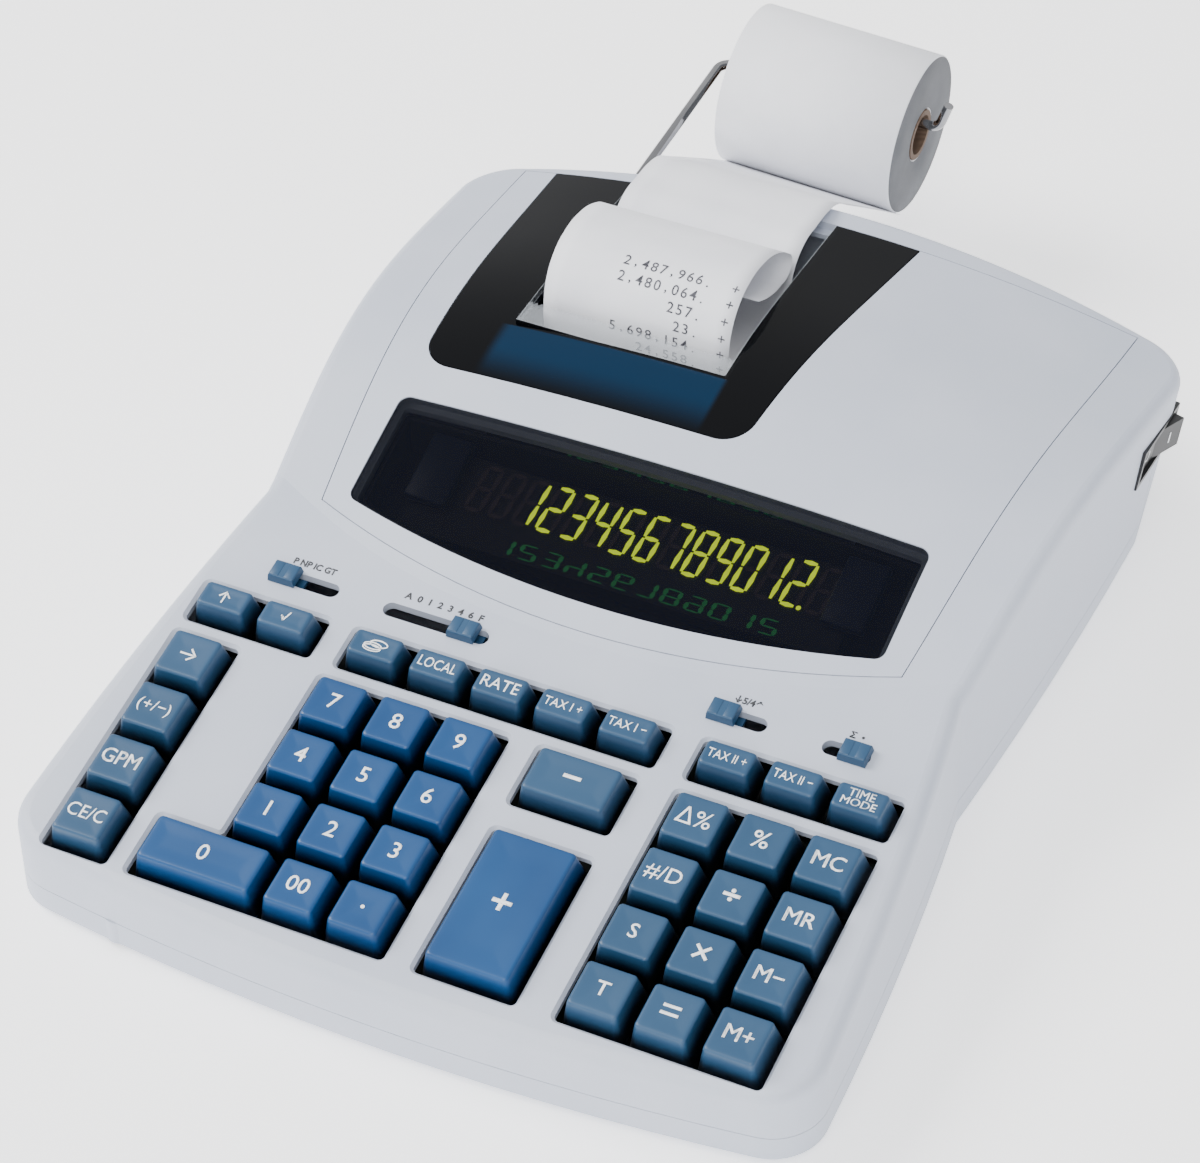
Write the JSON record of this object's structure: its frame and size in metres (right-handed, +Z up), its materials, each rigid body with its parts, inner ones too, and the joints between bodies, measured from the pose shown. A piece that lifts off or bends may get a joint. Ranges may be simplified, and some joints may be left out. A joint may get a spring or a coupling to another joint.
{
  "type": "desk calculator",
  "caption": "Desktop printing calculator with a sloped keyboard, smoked display window, hinged printer cover and a paper roll on a wire holder.",
  "frame": {"origin": "on the desk, under the middle of the whole calculator, paper roll included", "axes": "+X to the user's right, +Y to the rear (the front edge is at negative Y), +Z up"},
  "size_m": [0.229, 0.381, 0.0853],
  "materials": {
    "case": "light grey moulded plastic, finely textured",
    "display_window": "smoked acrylic, glossy",
    "display_tube": "dark tube with green figures, in a black bezel",
    "printer_cover": "smoked acrylic, glossy",
    "mechanism": "plated sheet steel",
    "platen": "ground black rubber",
    "paper": "plain white adding-machine paper",
    "wire": "bright chromed wire",
    "switch": "black, semi-gloss",
    "board": "green circuit board",
    "feet": "black rubber",
    "screws": "zinc plated",
    "slide_knob": "slate blue moulded plastic",
    "strong_key": "saturated blue, satin, with white figures",
    "soft_key": "slate blue, satin, with white figures"
  },
  "bodies": {
    "case": {"top_case": "case", "bottom_case": "case", "hood_panel": "case", "display_window": "display_window", "display_tube": "display_tube", "printer_unit": "mechanism", "paper_tape": "paper", "paper_holder": "wire", "switch_housing": "switch", "main_board": "board", "rubber_feet": "feet", "case_screws": "screws"},
    "key_shift": {"key_shift": "soft_key"},
    "key_sign": {"key_sign": "soft_key"},
    "key_gpm": {"key_gpm": "soft_key"},
    "key_clear": {"key_clear": "soft_key"},
    "key_feed": {"key_feed": "soft_key"},
    "key_root": {"key_root": "soft_key"},
    "key_currency": {"key_currency": "soft_key"},
    "key_local": {"key_local": "soft_key"},
    "key_rate": {"key_rate": "soft_key"},
    "key_tax1_plus": {"key_tax1_plus": "soft_key"},
    "key_tax1_minus": {"key_tax1_minus": "soft_key"},
    "key_tax2_plus": {"key_tax2_plus": "soft_key"},
    "key_tax2_minus": {"key_tax2_minus": "soft_key"},
    "key_time_mode": {"key_time_mode": "soft_key"},
    "key_0": {"key_0": "strong_key"},
    "key_1": {"key_1": "strong_key"},
    "key_2": {"key_2": "strong_key"},
    "key_3": {"key_3": "strong_key"},
    "key_4": {"key_4": "strong_key"},
    "key_5": {"key_5": "strong_key"},
    "key_6": {"key_6": "strong_key"},
    "key_7": {"key_7": "strong_key"},
    "key_8": {"key_8": "strong_key"},
    "key_9": {"key_9": "strong_key"},
    "key_00": {"key_00": "strong_key"},
    "key_point": {"key_point": "strong_key"},
    "key_minus": {"key_minus": "soft_key"},
    "key_plus": {"key_plus": "strong_key"},
    "key_delta_percent": {"key_delta_percent": "soft_key"},
    "key_percent": {"key_percent": "soft_key"},
    "key_mc": {"key_mc": "soft_key"},
    "key_date": {"key_date": "soft_key"},
    "key_divide": {"key_divide": "soft_key"},
    "key_mr": {"key_mr": "soft_key"},
    "key_subtotal": {"key_subtotal": "soft_key"},
    "key_multiply": {"key_multiply": "soft_key"},
    "key_m_minus": {"key_m_minus": "soft_key"},
    "key_total": {"key_total": "soft_key"},
    "key_equals": {"key_equals": "soft_key"},
    "key_m_plus": {"key_m_plus": "soft_key"},
    "slide_function": {"slide_function": "slide_knob"},
    "slide_decimal": {"slide_decimal": "slide_knob"},
    "slide_rounding": {"slide_rounding": "slide_knob"},
    "slide_total": {"slide_total": "slide_knob"},
    "power_rocker": {"power_rocker": "switch"},
    "printer_cover": {"printer_cover": "printer_cover"},
    "paper_roll": {"paper_roll": "paper"},
    "platen_roller": {"platen_roller": "platen"}
  },
  "joints": [
    {"name": "key_shift_press", "type": "slide", "parent": "case", "child": "key_shift", "axis": [0, 0.1736, -0.9848], "range_m": [0, 0.003], "stiffness_N_per_m": 150, "springref_m": -0.002},
    {"name": "key_sign_press", "type": "slide", "parent": "case", "child": "key_sign", "axis": [0, 0.1736, -0.9848], "range_m": [0, 0.003], "stiffness_N_per_m": 150, "springref_m": -0.002},
    {"name": "key_gpm_press", "type": "slide", "parent": "case", "child": "key_gpm", "axis": [0, 0.1736, -0.9848], "range_m": [0, 0.003], "stiffness_N_per_m": 150, "springref_m": -0.002},
    {"name": "key_clear_press", "type": "slide", "parent": "case", "child": "key_clear", "axis": [0, 0.1736, -0.9848], "range_m": [0, 0.003], "stiffness_N_per_m": 150, "springref_m": -0.002},
    {"name": "key_feed_press", "type": "slide", "parent": "case", "child": "key_feed", "axis": [0, 0.1736, -0.9848], "range_m": [0, 0.003], "stiffness_N_per_m": 150, "springref_m": -0.002},
    {"name": "key_root_press", "type": "slide", "parent": "case", "child": "key_root", "axis": [0, 0.1736, -0.9848], "range_m": [0, 0.003], "stiffness_N_per_m": 150, "springref_m": -0.002},
    {"name": "key_currency_press", "type": "slide", "parent": "case", "child": "key_currency", "axis": [0, 0.1736, -0.9848], "range_m": [0, 0.003], "stiffness_N_per_m": 150, "springref_m": -0.002},
    {"name": "key_local_press", "type": "slide", "parent": "case", "child": "key_local", "axis": [0, 0.1736, -0.9848], "range_m": [0, 0.003], "stiffness_N_per_m": 150, "springref_m": -0.002},
    {"name": "key_rate_press", "type": "slide", "parent": "case", "child": "key_rate", "axis": [0, 0.1736, -0.9848], "range_m": [0, 0.003], "stiffness_N_per_m": 150, "springref_m": -0.002},
    {"name": "key_tax1_plus_press", "type": "slide", "parent": "case", "child": "key_tax1_plus", "axis": [0, 0.1736, -0.9848], "range_m": [0, 0.003], "stiffness_N_per_m": 150, "springref_m": -0.002},
    {"name": "key_tax1_minus_press", "type": "slide", "parent": "case", "child": "key_tax1_minus", "axis": [0, 0.1736, -0.9848], "range_m": [0, 0.003], "stiffness_N_per_m": 150, "springref_m": -0.002},
    {"name": "key_tax2_plus_press", "type": "slide", "parent": "case", "child": "key_tax2_plus", "axis": [0, 0.1736, -0.9848], "range_m": [0, 0.003], "stiffness_N_per_m": 150, "springref_m": -0.002},
    {"name": "key_tax2_minus_press", "type": "slide", "parent": "case", "child": "key_tax2_minus", "axis": [0, 0.1736, -0.9848], "range_m": [0, 0.003], "stiffness_N_per_m": 150, "springref_m": -0.002},
    {"name": "key_time_mode_press", "type": "slide", "parent": "case", "child": "key_time_mode", "axis": [0, 0.1736, -0.9848], "range_m": [0, 0.003], "stiffness_N_per_m": 150, "springref_m": -0.002},
    {"name": "key_0_press", "type": "slide", "parent": "case", "child": "key_0", "axis": [0, 0.1736, -0.9848], "range_m": [0, 0.003], "stiffness_N_per_m": 150, "springref_m": -0.002},
    {"name": "key_1_press", "type": "slide", "parent": "case", "child": "key_1", "axis": [0, 0.1736, -0.9848], "range_m": [0, 0.003], "stiffness_N_per_m": 150, "springref_m": -0.002},
    {"name": "key_2_press", "type": "slide", "parent": "case", "child": "key_2", "axis": [0, 0.1736, -0.9848], "range_m": [0, 0.003], "stiffness_N_per_m": 150, "springref_m": -0.002},
    {"name": "key_3_press", "type": "slide", "parent": "case", "child": "key_3", "axis": [0, 0.1736, -0.9848], "range_m": [0, 0.003], "stiffness_N_per_m": 150, "springref_m": -0.002},
    {"name": "key_4_press", "type": "slide", "parent": "case", "child": "key_4", "axis": [0, 0.1736, -0.9848], "range_m": [0, 0.003], "stiffness_N_per_m": 150, "springref_m": -0.002},
    {"name": "key_5_press", "type": "slide", "parent": "case", "child": "key_5", "axis": [0, 0.1736, -0.9848], "range_m": [0, 0.003], "stiffness_N_per_m": 150, "springref_m": -0.002},
    {"name": "key_6_press", "type": "slide", "parent": "case", "child": "key_6", "axis": [0, 0.1736, -0.9848], "range_m": [0, 0.003], "stiffness_N_per_m": 150, "springref_m": -0.002},
    {"name": "key_7_press", "type": "slide", "parent": "case", "child": "key_7", "axis": [0, 0.1736, -0.9848], "range_m": [0, 0.003], "stiffness_N_per_m": 150, "springref_m": -0.002},
    {"name": "key_8_press", "type": "slide", "parent": "case", "child": "key_8", "axis": [0, 0.1736, -0.9848], "range_m": [0, 0.003], "stiffness_N_per_m": 150, "springref_m": -0.002},
    {"name": "key_9_press", "type": "slide", "parent": "case", "child": "key_9", "axis": [0, 0.1736, -0.9848], "range_m": [0, 0.003], "stiffness_N_per_m": 150, "springref_m": -0.002},
    {"name": "key_00_press", "type": "slide", "parent": "case", "child": "key_00", "axis": [0, 0.1736, -0.9848], "range_m": [0, 0.003], "stiffness_N_per_m": 150, "springref_m": -0.002},
    {"name": "key_point_press", "type": "slide", "parent": "case", "child": "key_point", "axis": [0, 0.1736, -0.9848], "range_m": [0, 0.003], "stiffness_N_per_m": 150, "springref_m": -0.002},
    {"name": "key_minus_press", "type": "slide", "parent": "case", "child": "key_minus", "axis": [0, 0.1736, -0.9848], "range_m": [0, 0.003], "stiffness_N_per_m": 150, "springref_m": -0.002},
    {"name": "key_plus_press", "type": "slide", "parent": "case", "child": "key_plus", "axis": [0, 0.1736, -0.9848], "range_m": [0, 0.003], "stiffness_N_per_m": 150, "springref_m": -0.002},
    {"name": "key_delta_percent_press", "type": "slide", "parent": "case", "child": "key_delta_percent", "axis": [0, 0.1736, -0.9848], "range_m": [0, 0.003], "stiffness_N_per_m": 150, "springref_m": -0.002},
    {"name": "key_percent_press", "type": "slide", "parent": "case", "child": "key_percent", "axis": [0, 0.1736, -0.9848], "range_m": [0, 0.003], "stiffness_N_per_m": 150, "springref_m": -0.002},
    {"name": "key_mc_press", "type": "slide", "parent": "case", "child": "key_mc", "axis": [0, 0.1736, -0.9848], "range_m": [0, 0.003], "stiffness_N_per_m": 150, "springref_m": -0.002},
    {"name": "key_date_press", "type": "slide", "parent": "case", "child": "key_date", "axis": [0, 0.1736, -0.9848], "range_m": [0, 0.003], "stiffness_N_per_m": 150, "springref_m": -0.002},
    {"name": "key_divide_press", "type": "slide", "parent": "case", "child": "key_divide", "axis": [0, 0.1736, -0.9848], "range_m": [0, 0.003], "stiffness_N_per_m": 150, "springref_m": -0.002},
    {"name": "key_mr_press", "type": "slide", "parent": "case", "child": "key_mr", "axis": [0, 0.1736, -0.9848], "range_m": [0, 0.003], "stiffness_N_per_m": 150, "springref_m": -0.002},
    {"name": "key_subtotal_press", "type": "slide", "parent": "case", "child": "key_subtotal", "axis": [0, 0.1736, -0.9848], "range_m": [0, 0.003], "stiffness_N_per_m": 150, "springref_m": -0.002},
    {"name": "key_multiply_press", "type": "slide", "parent": "case", "child": "key_multiply", "axis": [0, 0.1736, -0.9848], "range_m": [0, 0.003], "stiffness_N_per_m": 150, "springref_m": -0.002},
    {"name": "key_m_minus_press", "type": "slide", "parent": "case", "child": "key_m_minus", "axis": [0, 0.1736, -0.9848], "range_m": [0, 0.003], "stiffness_N_per_m": 150, "springref_m": -0.002},
    {"name": "key_total_press", "type": "slide", "parent": "case", "child": "key_total", "axis": [0, 0.1736, -0.9848], "range_m": [0, 0.003], "stiffness_N_per_m": 150, "springref_m": -0.002},
    {"name": "key_equals_press", "type": "slide", "parent": "case", "child": "key_equals", "axis": [0, 0.1736, -0.9848], "range_m": [0, 0.003], "stiffness_N_per_m": 150, "springref_m": -0.002},
    {"name": "key_m_plus_press", "type": "slide", "parent": "case", "child": "key_m_plus", "axis": [0, 0.1736, -0.9848], "range_m": [0, 0.003], "stiffness_N_per_m": 150, "springref_m": -0.002},
    {"name": "slide_function_move", "type": "slide", "parent": "case", "child": "slide_function", "axis": [1, 0, 0], "range_m": [0, 0.012]},
    {"name": "slide_decimal_move", "type": "slide", "parent": "case", "child": "slide_decimal", "axis": [1, 0, 0], "range_m": [-0.02, 0.00299]},
    {"name": "slide_rounding_move", "type": "slide", "parent": "case", "child": "slide_rounding", "axis": [1, 0, 0], "range_m": [0, 0.008]},
    {"name": "slide_total_move", "type": "slide", "parent": "case", "child": "slide_total", "axis": [1, 0, 0], "range_m": [-0.005, 0]},
    {"name": "power_rock", "type": "hinge", "parent": "case", "child": "power_rocker", "pos_m": [0.10765, 0.07125, 0.03959], "axis": [0.118, 0.1382, 0.9833], "range_deg": [0, 18]},
    {"name": "cover_lift", "type": "hinge", "parent": "case", "child": "printer_cover", "pos_m": [-0.031, -0.00605, 0.067], "axis": [1, 0, 0], "range_deg": [0, 70]},
    {"name": "roll_spin", "type": "hinge", "parent": "case", "child": "paper_roll", "pos_m": [-0.02858, 0.16585, 0.05201], "axis": [0.9986, 0, -0.0523], "continuous": true},
    {"name": "platen_spin", "type": "hinge", "parent": "case", "child": "platen_roller", "pos_m": [-0.0283, 0.03385, 0.046], "axis": [1, 0, 0], "continuous": true}
  ],
  "couplings": [
    {"joint": "platen_spin", "follows": "roll_spin", "ratio": 3.0875}
  ]
}
